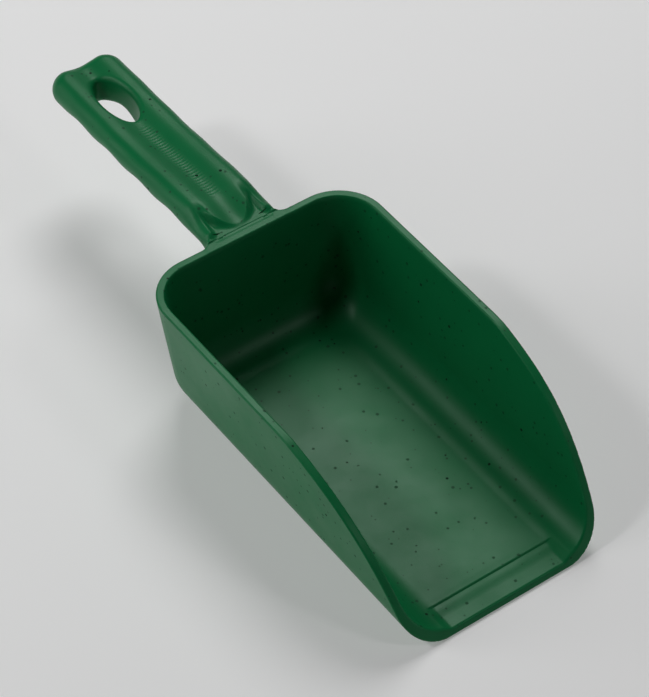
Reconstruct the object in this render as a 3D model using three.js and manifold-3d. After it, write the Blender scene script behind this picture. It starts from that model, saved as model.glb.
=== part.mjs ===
// Hand scoop for feed: a deep open-fronted bowl and a flat grip, moulded as one piece of plastic.
// +X runs from the grip to the pouring lip, +Y to the left of the person holding it, +Z up.
// The two regions of the moulding are two meshes: the bowl, and the handle that grows from its back wall.

import * as THREE from 'three';
import { mergeVertices } from 'three/addons/utils/BufferGeometryUtils.js';
import Module from 'manifold-3d';

const wasm = await Module();
wasm.setup();

// Driving dimensions, in millimetres and degrees. Heights are measured up from the bowl's underside,
// and x from the outside of the rim at the back.
const rimWidth = 92;
const bowlLength = 154;
const bowlDepth = 52;
const wall = 3.2;
const draft = THREE.MathUtils.degToRad(7);
const cornerRadius = 18.5;
const leastCornerRadius = 5;
const floorRadius = 16.5;
const levelRim = 87;
const rimBlend = 5;
const sweepStart = 0.3;

// The thinned strip behind the pouring lip.
const stripBack = 142;
const stripWidth = 54;
const stripStep = 0.4;
const stripSlope = 7.5;
const lipThickness = 2.2;

// The grip. Its heights are measured from the plane of the rim.
const gripEnd = -107.8;
const gripHalfWidth = 14.7;
const sideRadius = 5.4;
const ridgeHeight = 1.6;
const ridgeRise = 2.6;
const ridgeRiseSpan = [-66, -14];
const ridgeFallSpan = [-14, -4];
const rootLevel = -0.4;
const ridgeSpacing = 8.5;
const channelDepth = 1.7;
const channelEnd = [-20, -10];
const undersideDepth = 6.75;
const undersideSlope = 0.038;
const fingerStart = -86;
const fingerPitch = 19.8;
const fingerDepth = 1.25;
const fingerFadeIn = [-100, -92];
const fingerFadeOut = [-20, -12];
const noseLength = 5.5;
const leastNose = 0.3;
const endCornerRadius = 7.3;
const rootFlare = 7;
const flareSpan = [-12, 6];

// The oval hole that the scoop hangs by.
const holeLength = 27;
const holeWidth = 12.4;
const holeCentre = -82.9;

const seam = 0.3;
const cornerSegments = 10;
const filletSteps = 7;
const tool = 20;

// How finely the grip's blank is divided: along it, closer together towards its rounded end.
const gripSteps = 64;
const gripStepGrowth = 1.15;
const undersideSteps = 4;
const topSteps = 10;

const { lerp, smoothstep } = THREE.MathUtils;

function solidOf(geometry) {
  const bare = geometry.clone();
  bare.deleteAttribute('normal');
  bare.deleteAttribute('uv');
  const merged = mergeVertices(bare, 1e-4);
  return new wasm.Manifold(new wasm.Mesh({
    numProp: 3,
    vertProperties: new Float32Array(merged.attributes.position.array),
    triVerts: new Uint32Array(merged.index.array),
  }));
}

function geometryOf(solid) {
  const mesh = solid.getMesh();
  const geometry = new THREE.BufferGeometry();
  geometry.setAttribute('position', new THREE.BufferAttribute(new Float32Array(mesh.vertProperties), 3));
  geometry.setIndex(new THREE.BufferAttribute(new Uint32Array(mesh.triVerts), 1));
  geometry.computeVertexNormals();
  return geometry;
}

// Moves every vertex of a geometry to the place that `place` gives for it.
function reshape(geometry, place) {
  const position = geometry.attributes.position;
  const point = new THREE.Vector3();
  for (let i = 0; i < position.count; i += 1) {
    point.fromBufferAttribute(position, i);
    place(point);
    position.setXYZ(i, point.x, point.y, point.z);
  }
  return geometry;
}

// A shape drawn in x and z, made solid across the scoop.
function acrossScoop(shape, width) {
  const geometry = new THREE.ExtrudeGeometry(shape, { depth: width, bevelEnabled: false, curveSegments: 28 });
  geometry.rotateX(Math.PI / 2);
  geometry.translate(0, width / 2, 0);
  return solidOf(geometry);
}

// The heights of a tray's wall and how far it has drawn in at each: the floor fillet, then the drafted wall.
function trayLevels(inset, top) {
  const radius = floorRadius - inset;
  const centreHeight = inset + radius;
  const wallInset = inset / Math.cos(draft);
  const centreInset = (bowlDepth - centreHeight) * Math.tan(draft) + wallInset + radius / Math.cos(draft);
  const levels = [];
  for (let i = 0; i <= filletSteps; i += 1) {
    const angle = (Math.PI / 2 - draft) * i / filletSteps;
    levels.push({
      z: centreHeight - radius * Math.cos(angle),
      drawIn: centreInset - radius * Math.sin(angle),
    });
  }
  levels.push({ z: top, drawIn: (bowlDepth - top) * Math.tan(draft) + wallInset });
  return levels;
}

// A tray with rounded corners, drafted walls and a filleted floor. An inset of 0 is the outside of the bowl.
function tray(inset, top) {
  const length = bowlLength + 2 * tool + floorRadius;
  const halfLength = length / 2;
  const halfWidth = rimWidth / 2;
  const outline = new THREE.Shape();
  const across = halfWidth - cornerRadius;
  const along = halfLength - cornerRadius;
  outline.absarc(along, across, cornerRadius, 0, Math.PI / 2);
  outline.absarc(-along, across, cornerRadius, Math.PI / 2, Math.PI);
  outline.absarc(-along, -across, cornerRadius, Math.PI, Math.PI * 1.5);
  outline.absarc(along, -across, cornerRadius, Math.PI * 1.5, Math.PI * 2);
  outline.closePath();

  const levels = trayLevels(inset, top);
  const rimInset = inset / Math.cos(draft);
  const spareRadius = cornerRadius - inset - leastCornerRadius;
  const geometry = new THREE.ExtrudeGeometry(outline, {
    depth: 1,
    steps: levels.length - 1,
    bevelEnabled: false,
    curveSegments: cornerSegments,
  });
  reshape(geometry, (point) => {
    const level = levels[Math.round(point.z * (levels.length - 1))];
    const radius = leastCornerRadius + spareRadius * Math.exp((rimInset - level.drawIn) / spareRadius);
    const signX = Math.sign(point.x);
    const signY = Math.sign(point.y);
    const unitX = (point.x - signX * along) / cornerRadius;
    const unitY = (point.y - signY * across) / cornerRadius;
    point.x = halfLength + signX * (halfLength - level.drawIn - radius) + unitX * radius;
    point.y = signY * (halfWidth - level.drawIn - radius) + unitY * radius;
    point.z = level.z;
  });
  return solidOf(geometry);
}

// Everything above the side walls' top line: level along the rim, then a long sweep down to the lip.
function aboveSideLine() {
  const sweep = bowlLength - levelRim;
  const shape = new THREE.Shape();
  shape.moveTo(levelRim - rimBlend, bowlDepth);
  const blendDrop = sweepStart * rimBlend * bowlDepth / sweep;
  shape.quadraticCurveTo(levelRim, bowlDepth, levelRim + rimBlend, bowlDepth - blendDrop);
  shape.bezierCurveTo(
    levelRim + sweep / 3, bowlDepth * (1 - sweepStart / 3),
    levelRim + sweep * 2 / 3, bowlDepth * (1 - sweepStart * 2 / 3),
    bowlLength, 0,
  );
  shape.lineTo(bowlLength + tool / 4, -tool / 2);
  shape.lineTo(bowlLength + 4 * tool, -tool / 2);
  shape.lineTo(bowlLength + 4 * tool, bowlDepth + tool);
  shape.lineTo(levelRim - rimBlend, bowlDepth + tool);
  shape.closePath();
  return acrossScoop(shape, rimWidth + tool);
}

function lipStrip() {
  const shape = new THREE.Shape();
  shape.moveTo(stripBack, wall + tool);
  shape.lineTo(stripBack, wall - stripStep);
  shape.lineTo(stripBack + stripSlope, lipThickness);
  shape.lineTo(bowlLength + tool, lipThickness);
  shape.lineTo(bowlLength + tool, wall + tool);
  shape.closePath();
  return acrossScoop(shape, stripWidth);
}

function bowlSolid() {
  return tray(0, bowlDepth)
    .subtract(tray(wall, bowlDepth + tool))
    .subtract(aboveSideLine())
    .subtract(lipStrip());
}

// A section across the grip: a bar with full round edges.
function gripOutline() {
  const shape = new THREE.Shape();
  const flat = gripHalfWidth - sideRadius;
  shape.moveTo(-flat, -sideRadius);
  for (let i = 1; i < undersideSteps; i += 1) {
    shape.lineTo(lerp(-flat, flat, i / undersideSteps), -sideRadius);
  }
  shape.absarc(flat, 0, sideRadius, -Math.PI / 2, Math.PI / 2);
  for (let i = 1; i < topSteps; i += 1) {
    shape.lineTo(lerp(flat, -flat, i / topSteps), sideRadius);
  }
  shape.absarc(-flat, 0, sideRadius, Math.PI / 2, Math.PI * 1.5);
  shape.closePath();
  return shape;
}

// Top of the ridges above the rim's plane: level along the grip, rising, then falling to the rim.
function ridgeTop(x) {
  const rise = ridgeRise * smoothstep(x, ...ridgeRiseSpan);
  const fall = smoothstep(x, ...ridgeFallSpan);
  return lerp(ridgeHeight + rise, rootLevel, fall);
}

// Bottom of the grip: four finger hollows, and a flare into the bowl's back wall.
function gripBottom(x) {
  const fingers = fingerDepth * (1 + Math.cos((x - fingerStart) / fingerPitch * Math.PI * 2)) / 2;
  const held = smoothstep(x, ...fingerFadeIn) * (1 - smoothstep(x, ...fingerFadeOut));
  const flare = rootFlare * smoothstep(x, ...flareSpan) ** 2;
  return undersideSlope * x - undersideDepth + fingers * held - flare;
}

function channelAt(x, y) {
  const across = Math.min(Math.abs(y) / ridgeSpacing, 1);
  const along = 1 - smoothstep(x, ...channelEnd);
  return channelDepth * along * (1 + Math.cos(across * Math.PI)) / 2;
}

// The share of the full section's height that is left near the grip's rounded end.
function noseHeight(x) {
  const into = Math.max(1 - (x - gripEnd) / noseLength, 0);
  return Math.max(Math.sqrt(1 - into ** 2), leastNose);
}

function gripBlank() {
  const back = tool / 2;
  const length = back - gripEnd;
  const geometry = new THREE.ExtrudeGeometry(gripOutline(), {
    depth: 1,
    steps: gripSteps,
    bevelEnabled: false,
    curveSegments: 8,
  });
  reshape(geometry, (point) => {
    const along = point.z;
    const x = gripEnd + length * along ** gripStepGrowth;
    const nose = noseHeight(x);
    const cornerReach = Math.max(endCornerRadius - (x - gripEnd), 0);
    const cornerLoss = endCornerRadius - Math.sqrt(endCornerRadius ** 2 - cornerReach ** 2);
    const top = ridgeTop(x);
    const bottom = gripBottom(x);
    const middle = (top + bottom) / 2;
    const halfHeight = (top - bottom) / 2 * nose;
    const fraction = point.y / sideRadius;
    const y = point.x * (gripHalfWidth - cornerLoss) / gripHalfWidth;
    const sunk = point.y > 0 ? channelAt(x, y) * nose : 0;
    point.set(x, y, bowlDepth + middle + halfHeight * fraction - sunk);
  });
  return solidOf(geometry);
}

function hangingHole() {
  const oval = new THREE.Shape();
  oval.absellipse(holeCentre, 0, holeLength / 2, holeWidth / 2, 0, Math.PI * 2);
  const geometry = new THREE.ExtrudeGeometry(oval, { depth: 2 * tool, bevelEnabled: false, curveSegments: 20 });
  geometry.translate(0, 0, bowlDepth - tool - undersideDepth);
  return solidOf(geometry);
}

function handleSolid() {
  return gripBlank()
    .subtract(hangingHole())
    .subtract(tray(-seam, bowlDepth + tool));
}

function mouldedGreen(name, colour, roughness) {
  const material = new THREE.MeshStandardMaterial({ color: colour, roughness, metalness: 0 });
  material.name = name;
  return material;
}

function part(name, solid, material) {
  const mesh = new THREE.Mesh(geometryOf(solid), material);
  mesh.name = name;
  return mesh;
}

// The model's origin is the middle of the flat that the bowl rests on.
const flatBack = trayLevels(0, bowlDepth)[0].drawIn;
const baseCentre = (flatBack + bowlLength) / 2;

const scoop = new THREE.Group();
scoop.add(part('bowl', bowlSolid(), mouldedGreen('bowl_green', 0x35704c, 0.42)));
scoop.add(part('handle', handleSolid(), mouldedGreen('handle_green', 0x2f7048, 0.46)));
scoop.position.set(-baseCentre, 0, 0);

export default scoop;
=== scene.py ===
# Hand scoop for feed, moulded in dark green polypropylene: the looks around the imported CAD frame.
# The scoop is written as one implicit solid, negative inside, in millimetres: x from the outside of the
# rim at the back, y across from the centre plane, z up from the flat underside. It is turned into one
# smooth mesh, and that mesh is cut behind the back wall into two closed pieces, the bowl and the handle.

import math

import bpy
import numpy as np
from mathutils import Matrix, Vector


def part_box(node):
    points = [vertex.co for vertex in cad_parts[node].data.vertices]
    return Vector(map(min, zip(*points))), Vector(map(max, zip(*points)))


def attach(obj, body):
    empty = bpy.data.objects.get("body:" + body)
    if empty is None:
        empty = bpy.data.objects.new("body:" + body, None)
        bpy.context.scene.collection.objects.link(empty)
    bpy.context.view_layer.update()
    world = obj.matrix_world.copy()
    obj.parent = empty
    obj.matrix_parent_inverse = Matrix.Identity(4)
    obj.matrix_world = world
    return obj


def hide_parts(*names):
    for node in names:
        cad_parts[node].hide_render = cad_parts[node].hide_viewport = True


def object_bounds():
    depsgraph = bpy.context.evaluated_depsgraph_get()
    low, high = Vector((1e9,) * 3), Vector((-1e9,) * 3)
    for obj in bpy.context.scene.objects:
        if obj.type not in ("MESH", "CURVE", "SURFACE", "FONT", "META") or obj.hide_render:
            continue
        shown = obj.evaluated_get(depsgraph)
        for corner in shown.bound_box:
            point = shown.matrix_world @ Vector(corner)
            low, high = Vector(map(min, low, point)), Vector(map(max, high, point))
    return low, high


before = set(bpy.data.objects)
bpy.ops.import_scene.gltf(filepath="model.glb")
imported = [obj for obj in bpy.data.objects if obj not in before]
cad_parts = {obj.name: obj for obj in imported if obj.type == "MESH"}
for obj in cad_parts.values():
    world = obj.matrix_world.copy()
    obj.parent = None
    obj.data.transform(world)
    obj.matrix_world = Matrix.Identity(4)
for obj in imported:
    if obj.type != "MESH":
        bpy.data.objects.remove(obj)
cad_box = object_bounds()
bowl_low, bowl_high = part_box("bowl")
handle_low, handle_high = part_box("handle")

MM = 0.001

# Sizes taken from the frame, in millimetres.
BOWL_LENGTH = (bowl_high.x - bowl_low.x) / MM
RIM_WIDTH = (bowl_high.y - bowl_low.y) / MM
BOWL_DEPTH = (bowl_high.z - bowl_low.z) / MM
GRIP_END = (handle_low.x - bowl_low.x) / MM
GRIP_HALF_WIDTH = (handle_high.y - handle_low.y) / MM / 2
ROOT_TOP = (handle_high.z - bowl_high.z) / MM

# The bowl.
WALL = 3.2
DRAFT = math.radians(7)
CORNER_RADIUS = 18.5
LEAST_CORNER_RADIUS = 5.0
FLOOR_RADIUS = 16.5
INNER_FLOOR_RADIUS = 15.5
LEVEL_RIM = 87.0
RIM_BLEND = 5.0
SWEEP_START = 0.3
EDGE_RADIUS = 0.55
INNER_EDGE_RADIUS = 0.6

# The thinned strip behind the pouring lip.
STRIP_BACK = 142.0
STRIP_HALF_WIDTH = 27.0
STRIP_STEP = 0.46
STRIP_SINK = 0.08
SINK_RUN = 3.0
LAND_LENGTH = 1.0
SECOND_STEP_END = 147.6
LIP_THICKNESS = 2.35
STEP_RUN = 0.55
STRIP_SIDE_RUN = 4.0

# The grip, with heights measured from the plane of the rim.
SIDE_RADIUS = 5.35
RIDGE_TOP = 1.6
RIDGE_RISE_SPAN = (-66.0, -14.0)
RIDGE_SPACING = 8.5
CHANNEL_DEPTH = 1.7
UNDERSIDE_DEPTH = 6.75
UNDERSIDE_SLOPE = 0.038
FINGER_START = -86.0
FINGER_PITCH = 19.8
FINGER_DEPTH = 1.25
FINGER_FADE_IN = (-100.0, -92.0)
FINGER_FADE_OUT = (-20.0, -12.0)
END_CORNER_RADIUS = 7.3
HOLE_LENGTH = 26.4
HOLE_WIDTH = 11.6
HOLE_CENTRE = -82.2
HOLE_DRAFT = 0.15
HOLE_EDGE_RADIUS = 1.9

# The grip's root: the raised middle ends short of the rim, and two side walls run on to it.
WEB_LEVEL = -0.12
POCKET_LEVEL = -0.35
POCKET_START = 7.4
TONGUE_END = -1.0
TONGUE_BOW = 0.048
TONGUE_FALL = 2.4
RIDGE_FALL = 8.0
ROOT_DIP = 2.1
ROOT_DIP_START = -18.0
TONGUE_HALF_WIDTH = 10.1
FLANK_RUN = 3.0
GROOVE_SPAN = (-19.0, -3.0)
SIDE_WALL_TOP = 1.8
SIDE_WALL_FALL = (-20.0, -8.0)
SIDE_WALL_FOOT = (-4.5, -0.8)
SIDE_WALL_START = 11.0
SIDE_WALL_END = 12.4
ROOT_START = -12.6
SIDE_WALL_JOIN = 1.2
SIDE_WALL_JOIN_SPAN = (-17.0, -9.0)
LEAST_JOIN = 0.02
ROOT_SIDE_RADIUS = 1.6
ROOT_NARROWING = (-7.0, 0.0)
ROOT_FLARE = 7.0
ROOT_FLARE_SPAN = (-12.0, 6.0)
BURIED_LENGTH = 12.0

# The fillet between the grip and the bowl: full at the sides and below, and almost none on top.
ROOT_FILLET = 4.0
LEAST_ROOT_FILLET = 0.5
FILLET_SIDE = (11.5, 14.0)
FILLET_DEPTH = (1.5, 5.0)

# Nothing rises over the rim's plane at the rim. Just behind it, that limit climbs at this slope.
CLEAR_OF_RIM = 1.0
CLEAR_SLOPE = 3.0

# The fine cross ribs in the channel.
RIB_PITCH = 1.5
RIB_HEIGHT = 0.08
RIB_SPAN = (-64.0, -17.0)
RIB_HALF_LENGTH = 3.2
RIB_SHARPNESS = 1.5
RIB_FADE = 1.0
RIB_TAPER = 2.0

# The studio, in metres.
LIGHT_DISTANCE = 1.2
FLOOR_SIZE = 6.0
FLOOR_GAP = 0.0002
CAMERA_AZIMUTH = math.radians(54.16)
CAMERA_ELEVATION = math.radians(46.99)
CAMERA_DISTANCE = 1.0469
CAMERA_AIM = (bowl_low + bowl_high) / 2 + Vector((-0.0293, 0, 0.0059))
LENS_MM = 156.5
SENSOR_MM = 36

# The mesh: the grid it is sampled on, and how points are moved onto the surface.
PITCH = 0.5
BLOCK = 8
PIECE_CUT = 3.0
NEAR_BLOCKS = 1.5
BATCH = 400_000
KEPT_SHARE = 0.3
SLOPE_STEP = 0.02
LEAST_SLOPE = 0.05
OUTLINE_ROUNDS = 5
CUT_CLEARANCE = 1e-4
TINY = 1e-6


def smoothstep(value, low, high):
    """A soft step: 0 below the low value, 1 above the high one."""
    share = np.clip((value - low) / (high - low), 0, 1)
    return share * share * (3 - 2 * share)


def lerp(start, end, share):
    return start + (end - start) * share


def rounded_max(a, b, radius):
    """The part of two solids that both hold, with its edge rounded."""
    outer = np.hypot(np.maximum(a + radius, 0), np.maximum(b + radius, 0))
    return outer + np.minimum(np.maximum(a, b) + radius, 0) - radius


def smooth_min(a, b, reach):
    """Two solids joined, with a fillet in the corner between them."""
    near = np.maximum(reach - np.abs(a - b), 0) / reach
    return np.minimum(a, b) - near * near * reach / 4


def smooth_max(a, b, reach):
    """The part of two solids that both hold, with its edge eased."""
    return -smooth_min(-a, -b, reach)


def draw_in(x, y, inset):
    """How far the tray's outline has drawn in at a point of the plan, corners included."""
    first = inset / math.cos(DRAFT)
    spare = CORNER_RADIUS - inset - LEAST_CORNER_RADIUS
    from_back = x
    from_side = RIM_WIDTH / 2 - np.abs(y)
    drawn = np.minimum(from_back, from_side)
    for _ in range(OUTLINE_ROUNDS):
        into = (drawn - first) / spare
        shrink = np.exp(-np.maximum(into, 0))
        radius = LEAST_CORNER_RADIUS + spare * (shrink - np.minimum(into, 0))
        a = np.maximum(drawn + radius - from_back, 0)
        b = np.maximum(drawn + radius - from_side, 0)
        reach = np.hypot(a, b)
        steepness = (1 - shrink) * (a + b) / np.maximum(reach, TINY) + shrink
        both = (a > 0) & (b > 0)
        drawn = np.where(both, drawn - (reach - radius) / steepness, drawn)
    return drawn


def tray(x, y, z, inset, radius):
    """The space inside a drafted wall and a filleted floor. An inset of 0 is the outside of the bowl."""
    drawn = draw_in(x, y, inset)
    at_wall = (BOWL_DEPTH - z) * math.tan(DRAFT) + inset / math.cos(DRAFT)
    beyond_wall = (at_wall - drawn) * math.cos(DRAFT)
    below_floor = inset - z
    lean = math.sin(DRAFT)
    u = beyond_wall + radius
    v = below_floor + radius
    squared = np.maximum(u * u + v * v - 2 * lean * u * v, 0) / (1 - lean * lean)
    in_fillet = (u > lean * v) & (v > lean * u)
    return np.where(in_fillet, np.sqrt(squared), np.maximum(u, v)) - radius


def above_side_line(x, z):
    """Height over the walls' top line: level along the rim, then a long sweep down to the lip."""
    sweep = BOWL_LENGTH - LEVEL_RIM
    along = (x - LEVEL_RIM) / sweep
    blend = RIM_BLEND / sweep
    ramp = np.where(along > blend, along, np.maximum(along + blend, 0) ** 2 / (4 * blend))
    on_sweep = np.clip(along, 0, 1)
    past_lip = np.maximum(along - 1, 0)
    curve = 1 - SWEEP_START
    line = BOWL_DEPTH * (1 - SWEEP_START * ramp - curve * (on_sweep ** 3 + 3 * past_lip))
    ramp_slope = np.clip((along + blend) / (2 * blend), 0, 1)
    slope = BOWL_DEPTH / sweep * (SWEEP_START * ramp_slope + 3 * curve * on_sweep ** 2)
    return (z - line) / np.sqrt(1 + slope * slope)


def strip_floor(x, y):
    """How far the strip behind the lip lies below the bowl's floor: a sharp step, then a soft one."""
    across = smoothstep(STRIP_HALF_WIDTH - np.abs(y), 0, STRIP_SIDE_RUN)
    step_start = STRIP_BACK - STEP_RUN / 2
    step_end = STRIP_BACK + STEP_RUN / 2
    sink = STRIP_SINK * smoothstep(x, step_start - SINK_RUN, step_start)
    step = STRIP_STEP * smoothstep(x, step_start, step_end)
    second_depth = WALL - LIP_THICKNESS - STRIP_STEP - STRIP_SINK
    second_step = second_depth * smoothstep(x, step_end + LAND_LENGTH, SECOND_STEP_END)
    return (sink + step + second_step) * across


def crest(x):
    """Height of the grip's ridges, which rise towards the bowl."""
    return RIDGE_TOP + (ROOT_TOP - RIDGE_TOP) * smoothstep(x, *RIDGE_RISE_SPAN)


def ribs(x, y):
    """Fine cross ribs on the channel's floor."""
    wave = 0.5 - 0.5 * np.cos((x - RIB_SPAN[0]) / RIB_PITCH * 2 * math.pi)
    start, end = RIB_SPAN
    along = smoothstep(x, start, start + RIB_FADE) * smoothstep(-x, -end, RIB_FADE - end)
    across = 1 - smoothstep(np.abs(y), RIB_HALF_LENGTH - RIB_TAPER, RIB_HALF_LENGTH)
    return RIB_HEIGHT * wave ** RIB_SHARPNESS * along * across


def grip_top(x, y):
    """Height of the grip's upper side over the plane of the rim."""
    side = np.abs(y)
    out_to_ridge = np.minimum(side / RIDGE_SPACING, 1)
    channel = CHANNEL_DEPTH * (1 + np.cos(np.pi * out_to_ridge)) / 2
    dip = ROOT_DIP * smoothstep(x, ROOT_DIP_START, TONGUE_END)
    ridges = crest(x) - dip - channel + ribs(x, y)
    groove = lerp(crest(x), POCKET_LEVEL, smoothstep(x, *GROOVE_SPAN))
    tongue = lerp(groove, ridges, smoothstep(TONGUE_HALF_WIDTH - side, 0, FLANK_RUN))
    foot = TONGUE_END - TONGUE_BOW * np.minimum(side, TONGUE_HALF_WIDTH) ** 2
    fall = lerp(TONGUE_FALL, RIDGE_FALL, out_to_ridge ** 2)
    web = lerp(WEB_LEVEL, POCKET_LEVEL, smoothstep(side - POCKET_START, 0, FLANK_RUN))
    tongue = lerp(web, tongue, smoothstep((foot - x) / fall, 0, 1))
    join = LEAST_JOIN + SIDE_WALL_JOIN * smoothstep(x, *SIDE_WALL_JOIN_SPAN)
    return smooth_max(tongue, side_walls(x, side), join)


def side_walls(x, side):
    """Height of the two low walls that run on from the grip's sides to the rim."""
    wall_line = lerp(SIDE_WALL_START, SIDE_WALL_END, np.clip(1 - x / ROOT_START, 0, 1))
    wall_top = lerp(crest(x), SIDE_WALL_TOP, smoothstep(x, *SIDE_WALL_FALL))
    wall_top = lerp(wall_top, 0, smoothstep(x, *SIDE_WALL_FOOT))
    return lerp(POCKET_LEVEL, wall_top, smoothstep(side - wall_line, -FLANK_RUN, 0))


def grip_bottom(x):
    """Height of the grip's underside: four finger hollows, and a flare into the bowl's back wall."""
    fingers = FINGER_DEPTH * (1 + np.cos((x - FINGER_START) / FINGER_PITCH * 2 * math.pi)) / 2
    held = smoothstep(x, *FINGER_FADE_IN) * (1 - smoothstep(x, *FINGER_FADE_OUT))
    flare = ROOT_FLARE * smoothstep(x, *ROOT_FLARE_SPAN) ** 2
    return UNDERSIDE_SLOPE * x - UNDERSIDE_DEPTH + fingers * held - flare


def grip(x, y, z):
    """The grip: a flat bar with full round edges, a channel along its top and an oval hole."""
    height = z - BOWL_DEPTH
    bottom = grip_bottom(x)
    middle = (crest(x) + bottom) / 2
    above = (height - middle) / (grip_top(x, y) - middle)
    below = (height - middle) / (middle - bottom)
    radius = lerp(SIDE_RADIUS, ROOT_SIDE_RADIUS, smoothstep(x, *ROOT_NARROWING))
    level = np.where(height > middle, above, below) * radius
    plan = rounded_max(np.abs(y) - GRIP_HALF_WIDTH, GRIP_END - x, END_CORNER_RADIUS)
    bar = np.hypot(np.maximum(plan + radius, 0), level) - radius
    bar = np.maximum(bar, x - BURIED_LENGTH)
    return rounded_max(bar, -hole(x, y, height), HOLE_EDGE_RADIUS)


def hole(x, y, height):
    """The oval hole that the scoop hangs by. It narrows a little towards the underside."""
    narrowing = HOLE_DRAFT * np.minimum(height, 0)
    along = (x - HOLE_CENTRE) / (HOLE_LENGTH / 2 + narrowing)
    across = y / (HOLE_WIDTH / 2 + narrowing)
    size = np.hypot(along, across)
    steepness = np.hypot(along / (HOLE_LENGTH / 2), across / (HOLE_WIDTH / 2))
    return size * (size - 1) / np.maximum(steepness, TINY)


def scoop(points):
    """The whole moulding: negative in the plastic, about the distance in millimetres to its surface."""
    x, y, z = points[..., 0], points[..., 1], points[..., 2]
    outside = tray(x, y, z, 0, FLOOR_RADIUS)
    height = z - BOWL_DEPTH
    fillet = np.maximum(smoothstep(np.abs(y), *FILLET_SIDE), smoothstep(-height, *FILLET_DEPTH))
    shell = rounded_max(outside, above_side_line(x, z), EDGE_RADIUS)
    joined = smooth_min(shell, grip(x, y, z), lerp(LEAST_ROOT_FILLET, ROOT_FILLET, fillet))
    over_rim = (height - CLEAR_SLOPE * np.maximum(-x - CLEAR_OF_RIM, 0)) / math.hypot(1, CLEAR_SLOPE)
    joined = rounded_max(joined, over_rim, EDGE_RADIUS / 2)
    cavity = tray(x, y, z + strip_floor(x, y), WALL, INNER_FLOOR_RADIUS)
    return rounded_max(joined, -cavity, INNER_EDGE_RADIUS)


def behind_wall(points):
    """Distance behind the face where the grip's piece is cut from the bowl's."""
    x, y, z = points[..., 0], points[..., 1], points[..., 2]
    return tray(x, y, z, 0, FLOOR_RADIUS) - PIECE_CUT


def gradient(field, points):
    """The field's slope along x, y and z at each point."""
    slopes = []
    for axis in range(3):
        ahead = points.copy()
        ahead[:, axis] += SLOPE_STEP
        back = points.copy()
        back[:, axis] -= SLOPE_STEP
        slopes.append((field(ahead) - field(back)) / (2 * SLOPE_STEP))
    return np.stack(slopes, axis=1)


def onto_surface(field, points, rounds=3):
    """Moves points that are near the surface onto it, along the field's slope."""
    for _ in range(rounds):
        slope = gradient(field, points)
        steepness = np.maximum((slope * slope).sum(1), LEAST_SLOPE)
        shift = slope * (field(points) / steepness)[:, None]
        points = points - np.clip(shift, -PITCH, PITCH)
    return points


def sample(field, low, counts):
    """The field on a grid. Blocks that the surface stays clear of keep the value at their centre."""
    blocks = [math.ceil(n / BLOCK) for n in counts]
    centres = np.stack(np.meshgrid(*[np.arange(n) for n in blocks], indexing="ij"), axis=-1)
    centres = low + (centres + 0.5) * BLOCK * PITCH
    rough = field(centres)
    near = np.abs(rough) < NEAR_BLOCKS * BLOCK * PITCH
    for axis, n in enumerate(counts):
        rough = np.take(np.repeat(rough, BLOCK, axis), np.arange(n), axis)
        near = np.take(np.repeat(near, BLOCK, axis), np.arange(n), axis)
    values = rough
    places = np.argwhere(near)
    for part in np.array_split(places, max(1, len(places) // BATCH)):
        values[tuple(part.T)] = field(low + part * PITCH)
    return values


def surface_net(values, low):
    """Vertices near the surface, one in each grid cell that it crosses, and the quads that join them."""
    inside = values < 0
    cells = tuple(n - 1 for n in values.shape)
    crossings = np.zeros(cells, np.int8)
    total = np.zeros(cells + (3,), np.float32)
    corners = [np.array(c) for c in np.ndindex(2, 2, 2)]

    def shifted(array, offset):
        return array[tuple(slice(o, o + n) for o, n in zip(offset, cells))]

    for start in corners:
        for axis in range(3):
            if start[axis]:
                continue
            end = start.copy()
            end[axis] = 1
            crossed = shifted(inside, start) != shifted(inside, end)
            where = np.nonzero(crossed)
            a = shifted(values, start)[where]
            b = shifted(values, end)[where]
            place = np.tile(start.astype(np.float32), (len(a), 1))
            place[:, axis] = a / (a - b)
            total[where] += place
            crossings[where] += 1

    used = crossings > 0
    numbers = np.full(cells, -1, np.int64)
    numbers[used] = np.arange(used.sum())
    places = np.argwhere(used) + total[used] / crossings[used][:, None]
    return low + places * PITCH, net_quads(inside, numbers)


def net_quads(inside, numbers):
    """One quad round every grid edge that the surface crosses, facing out."""
    quads = []
    for axis in range(3):
        first, second = (axis + 1) % 3, (axis + 2) % 3
        here = np.take(inside, np.arange(inside.shape[axis] - 1), axis)
        there = np.take(inside, np.arange(1, inside.shape[axis]), axis)
        for starts_inside in (True, False):
            edges = np.argwhere((here != there) & (here == starts_inside))
            edges = edges[(edges[:, first] > 0) & (edges[:, second] > 0)]
            ring = [(1, 1), (0, 1), (0, 0), (1, 0)]
            if not starts_inside:
                ring = ring[::-1]
            corners = []
            for back_first, back_second in ring:
                cell = edges.copy()
                cell[:, first] -= back_first
                cell[:, second] -= back_second
                corners.append(numbers[tuple(cell.T)])
            quads.append(np.stack(corners, axis=1))
    return np.concatenate(quads)


def mesh_of(name, points, faces):
    """A Blender mesh of points and faces."""
    mesh = bpy.data.meshes.new(name)
    mesh.from_pydata(points.tolist(), [], faces.tolist())
    return mesh


def thinned(points, faces):
    """The same surface with fewer triangles where it is flat."""
    ob = bpy.data.objects.new("full", mesh_of("full", points, faces))
    bpy.context.scene.collection.objects.link(ob)
    ob.modifiers.new("triangles", "TRIANGULATE")
    fewer = ob.modifiers.new("fewer", "DECIMATE")
    fewer.ratio = KEPT_SHARE
    shown = ob.evaluated_get(bpy.context.evaluated_depsgraph_get()).to_mesh()
    shown.calc_loop_triangles()
    co = np.zeros(len(shown.vertices) * 3, np.float32)
    shown.vertices.foreach_get("co", co)
    corners = np.zeros(len(shown.loop_triangles) * 3, np.int32)
    shown.loop_triangles.foreach_get("vertices", corners)
    bpy.data.objects.remove(ob)
    return co.reshape(-1, 3).astype(float), corners.reshape(-1, 3)


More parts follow.
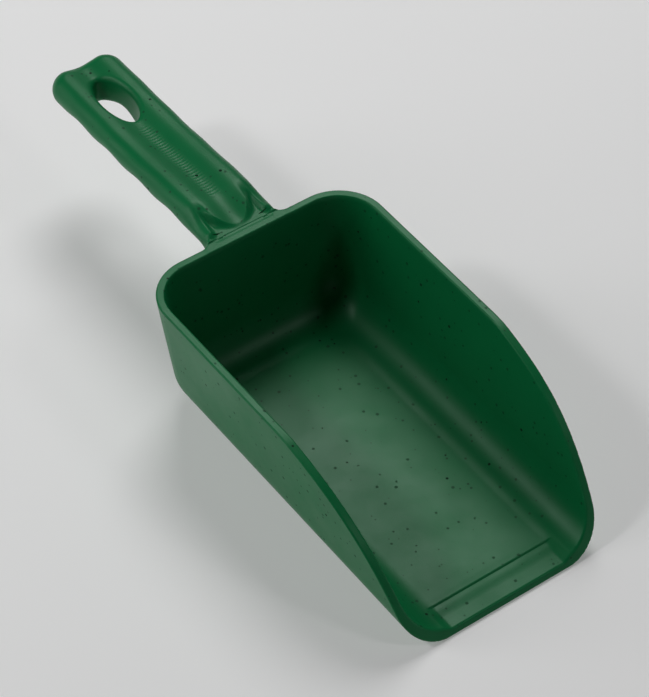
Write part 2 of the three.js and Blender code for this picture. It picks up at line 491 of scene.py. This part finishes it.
def split(points, triangles, side):
    """Cuts triangles along side = 0. Gives the new points, and which triangles lie on each side."""
    value = side(points)
    value[np.abs(value) < CUT_CLEARANCE] = CUT_CLEARANCE
    above = value > 0
    count = above[triangles].sum(1)
    whole = triangles[(count == 0) | (count == 3)]
    crossing = triangles[(count == 1) | (count == 2)]
    made = {}
    extra = []

    def midpoint(a, b):
        key = (min(a, b), max(a, b))
        if key not in made:
            share = value[key[0]] / (value[key[0]] - value[key[1]])
            made[key] = len(points) + len(extra)
            extra.append(lerp(points[key[0]], points[key[1]], share))
        return made[key]

    low_side = [whole[~above[whole[:, 0]]]]
    high_side = [whole[above[whole[:, 0]]]]
    for triangle in crossing.tolist():
        lone = above[triangle].sum() == 1
        turn = next(i for i in range(3) if above[triangle[i]] == lone)
        a, b, c = triangle[turn:] + triangle[:turn]
        ab, ac = midpoint(a, b), midpoint(a, c)
        tip, rest = (high_side, low_side) if lone else (low_side, high_side)
        tip.append(np.array([[a, ab, ac]]))
        rest.append(np.array([[ab, b, c], [ab, c, ac]]))
    points = np.concatenate([points, np.array(extra)])
    return points, np.concatenate(low_side), np.concatenate(high_side)


def capped(points, triangles):
    """Closes the open side of a cut piece with a fan of triangles round the middle of its edge."""
    edges = np.concatenate([triangles[:, [0, 1]], triangles[:, [1, 2]], triangles[:, [2, 0]]])
    forward = set(map(tuple, edges.tolist()))
    rim = np.array([e for e in forward if (e[1], e[0]) not in forward])
    middle = points[rim[:, 0]].mean(0)
    fan = np.stack([rim[:, 1], rim[:, 0], np.full(len(rim), len(points))], axis=1)
    return np.vstack([points, middle]), np.vstack([triangles, fan])


def piece(name, points, triangles):
    """A mesh object of one cut piece, shaded by the moulding's own slope."""
    points, triangles = capped(points, triangles)
    used, corners = np.unique(triangles, return_inverse=True)
    triangles = corners.reshape(-1, 3)
    points = points[used]
    slope = gradient(scoop, points)
    normals = slope / np.linalg.norm(slope, axis=1)[:, None]
    placed = points * MM
    placed[:, 0] += bowl_low.x
    placed[:, 2] += bowl_low.z
    mesh = mesh_of(name, placed, triangles)
    mesh.shade_smooth()
    mesh.normals_split_custom_set_from_vertices(normals.tolist())
    ob = bpy.data.objects.new(name, mesh)
    bpy.context.scene.collection.objects.link(ob)
    return ob


def moulding():
    """Both pieces of the scoop."""
    margin = 2.0
    low = np.array([GRIP_END - margin, -RIM_WIDTH / 2 - margin, -margin])
    high = np.array([BOWL_LENGTH + margin, RIM_WIDTH / 2 + margin, BOWL_DEPTH + ROOT_TOP + margin])
    counts = [math.ceil(size / PITCH) for size in high - low]
    points, quads = surface_net(sample(scoop, low, counts), low)
    points = onto_surface(scoop, points)
    points, triangles = thinned(points, quads)
    points = onto_surface(scoop, points, rounds=2)
    points, bowl_part, handle_part = split(points, triangles, behind_wall)
    return piece("bowl_shell", points, bowl_part), piece("handle_grip", points, handle_part)


def node(tree, kind, **settings):
    """A new shader node with some of its settings changed."""
    made = tree.nodes.new(kind)
    for key, value in settings.items():
        setattr(made, key, value)
    return made


def noise(tree, place, scale, detail, roughness=0.5):
    """Smooth noise, with its scale in features per metre."""
    made = node(tree, "ShaderNodeTexNoise")
    made.inputs["Scale"].default_value = scale
    made.inputs["Detail"].default_value = detail
    made.inputs["Roughness"].default_value = roughness
    tree.links.new(place, made.inputs["Vector"])
    return made.outputs["Fac"]


def mapped(tree, value, from_range, to_range):
    """A value carried from one range to another, and held at its ends."""
    made = node(tree, "ShaderNodeMapRange")
    made.inputs["From Min"].default_value = from_range[0]
    made.inputs["From Max"].default_value = from_range[1]
    made.inputs["To Min"].default_value = to_range[0]
    made.inputs["To Max"].default_value = to_range[1]
    tree.links.new(value, made.inputs["Value"])
    return made.outputs["Result"]


def mixed(tree, share, a, b):
    """Two colours mixed. Each is a fixed colour or another node's output."""
    made = node(tree, "ShaderNodeMix", data_type="RGBA")
    tree.links.new(share, made.inputs["Factor"])
    first, second = [socket for socket in made.inputs if socket.type == "RGBA"]
    for value, socket in ((a, first), (b, second)):
        if isinstance(value, tuple):
            socket.default_value = (*value, 1)
        else:
            tree.links.new(value, socket)
    return next(socket for socket in made.outputs if socket.type == "RGBA")


def specks(tree, place, scale, size, rarity):
    """Spots of many sizes at random places: 1 in a speck and 0 elsewhere."""
    cell = node(tree, "ShaderNodeTexVoronoi", voronoi_dimensions="3D", feature="F1")
    cell.inputs["Scale"].default_value = scale
    tree.links.new(place, cell.inputs["Vector"])
    channels = node(tree, "ShaderNodeSeparateColor")
    tree.links.new(cell.outputs["Color"], channels.inputs["Color"])
    reach = mapped(tree, channels.outputs["Red"], (rarity, 1.0), (0.0, size))
    depth = node(tree, "ShaderNodeMath", operation="SUBTRACT")
    tree.links.new(reach, depth.inputs[0])
    tree.links.new(cell.outputs["Distance"], depth.inputs[1])
    soft_edge = (0.0, 0.05)
    return mapped(tree, depth.outputs[0], soft_edge, (0.0, 1.0))


def green_plastic():
    """Satin moulded polypropylene with a faint cloudiness, dark specks and a fine moulded grain."""
    material = bpy.data.materials.new("green_plastic")
    material.use_nodes = True
    tree = material.node_tree
    shader = tree.nodes["Principled BSDF"]
    place = node(tree, "ShaderNodeTexCoord").outputs["Object"]

    deep_green = (0.0015, 0.122, 0.037)
    light_green = (0.003, 0.158, 0.048)
    speck_colour = (0.002, 0.022, 0.009)
    fine_strength = 0.6
    clouds = noise(tree, place, scale=38.0, detail=4.0, roughness=0.6)
    colour = mixed(tree, clouds, deep_green, light_green)
    fine = specks(tree, place, scale=520.0, size=0.36, rarity=0.72)
    coarse = specks(tree, place, scale=230.0, size=0.19, rarity=0.72)
    speck = node(tree, "ShaderNodeMath", operation="MAXIMUM")
    tree.links.new(mapped(tree, fine, (0, 1), (0, fine_strength)), speck.inputs[0])
    tree.links.new(coarse, speck.inputs[1])
    colour = mixed(tree, speck.outputs[0], colour, speck_colour)
    tree.links.new(colour, shader.inputs["Base Color"])

    satin = (0.35, 0.44)
    smudges = noise(tree, place, scale=55.0, detail=6.0, roughness=0.62)
    roughness = node(tree, "ShaderNodeMath", operation="MAXIMUM")
    tree.links.new(mapped(tree, smudges, (0.3, 0.7), satin), roughness.inputs[0])
    tree.links.new(speck.outputs[0], roughness.inputs[1])
    tree.links.new(roughness.outputs[0], shader.inputs["Roughness"])
    shader.inputs["IOR"].default_value = 1.49
    shader.inputs["Specular IOR Level"].default_value = 0.24
    shader.inputs["Specular Tint"].default_value = (0.74, 1.0, 0.84, 1)

    grain = node(tree, "ShaderNodeBump")
    grain.inputs["Strength"].default_value = 0.25
    grain.inputs["Distance"].default_value = 0.00006
    tree.links.new(noise(tree, place, scale=2200.0, detail=3.0), grain.inputs["Height"])
    tree.links.new(grain.outputs["Normal"], shader.inputs["Normal"])
    return material


def pale_floor():
    """Matt and pale, with a glow that makes up for the lamps' fading far from the scoop."""
    material = bpy.data.materials.new("pale_floor")
    material.use_nodes = True
    tree = material.node_tree
    shader = tree.nodes["Principled BSDF"]
    shader.inputs["Base Color"].default_value = (0.75, 0.75, 0.75, 1)
    shader.inputs["Roughness"].default_value = 0.9
    shader.inputs["Emission Color"].default_value = (1, 1, 1, 1)
    away = node(tree, "ShaderNodeVectorMath", operation="LENGTH")
    tree.links.new(node(tree, "ShaderNodeTexCoord").outputs["Object"], away.inputs[0])
    lamps_fade = (0.5, 2.2)
    glow = mapped(tree, away.outputs["Value"], lamps_fade, (0.18, 0.38))
    tree.links.new(glow, shader.inputs["Emission Strength"])
    return material


def floor():
    """A wide pale floor just under the scoop."""
    half = FLOOR_SIZE / 2
    corners = np.array([[-half, -half, 0], [half, -half, 0], [half, half, 0], [-half, half, 0]])
    ob = bpy.data.objects.new("floor", mesh_of("floor", corners, np.array([[0, 1, 2, 3]])))
    ob.location.z = cad_box[0].z - FLOOR_GAP
    bpy.context.scene.collection.objects.link(ob)
    ob.data.materials.append(pale_floor())


def softbox(name, direction, size, power):
    """An oval soft light that faces the scoop from a direction. Its size is its width and its height."""
    data = bpy.data.lights.new(name, "AREA")
    data.shape = "ELLIPSE"
    data.size, data.size_y = size
    data.energy = power
    ob = bpy.data.objects.new(name, data)
    toward = Vector(direction).normalized()
    ob.location = (cad_box[0] + cad_box[1]) / 2 + toward * LIGHT_DISTANCE
    ob.rotation_euler = (-toward).to_track_quat("-Z", "Y").to_euler()
    bpy.context.scene.collection.objects.link(ob)


def studio():
    """Soft boxes named as the camera sees them, and a dim sky that is pale only near the horizon."""
    world = bpy.data.worlds.new("studio")
    world.use_nodes = True
    tree = world.node_tree
    background = tree.nodes["Background"]
    background.inputs["Color"].default_value = (1, 1, 1, 1)
    height = node(tree, "ShaderNodeSeparateXYZ")
    tree.links.new(node(tree, "ShaderNodeTexCoord").outputs["Generated"], height.inputs["Vector"])
    near_horizon = (0.05, 0.30)
    pale_low_down = mapped(tree, height.outputs["Z"], near_horizon, (0.4, 0.01))
    tree.links.new(pale_low_down, background.inputs["Strength"])
    bpy.context.scene.world = world
    softbox("main_box", direction=(-0.48, 0.40, 0.78), size=(0.58, 0.58), power=6.3)
    softbox("back_left_box", direction=(-0.50, -0.74, 0.45), size=(0.45, 0.9), power=3.5)
    softbox("spot_box", direction=(-0.24, -0.63, 0.74), size=(0.18, 0.18), power=2.3)
    softbox("right_box", direction=(0.63, 0.38, 0.68), size=(0.2, 0.2), power=0.9)
    softbox("front_right_box", direction=(0.69, 0.69, 0.21), size=(0.6, 0.6), power=0.3)
    bpy.context.scene.view_settings.view_transform = "Standard"


def camera():
    """A long lens above and in front of the scoop, on the side of its right wall."""
    level = math.cos(CAMERA_ELEVATION)
    back = Vector((math.sin(CAMERA_AZIMUTH) * level,
                   -math.cos(CAMERA_AZIMUTH) * level,
                   math.sin(CAMERA_ELEVATION)))
    data = bpy.data.cameras.new("camera")
    data.sensor_width = SENSOR_MM
    data.lens = LENS_MM
    ob = bpy.data.objects.new("camera", data)
    ob.location = CAMERA_AIM + back * CAMERA_DISTANCE
    ob.rotation_euler = (-back).to_track_quat("-Z", "Y").to_euler()
    bpy.context.scene.collection.objects.link(ob)
    bpy.context.scene.camera = ob


camera()
studio()
floor()
bowl_shell, handle_grip = moulding()
plastic = green_plastic()
for ob, cad_node in ((bowl_shell, "bowl"), (handle_grip, "handle")):
    ob.data.materials.append(plastic)
    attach(ob, "root")
    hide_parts(cad_node)
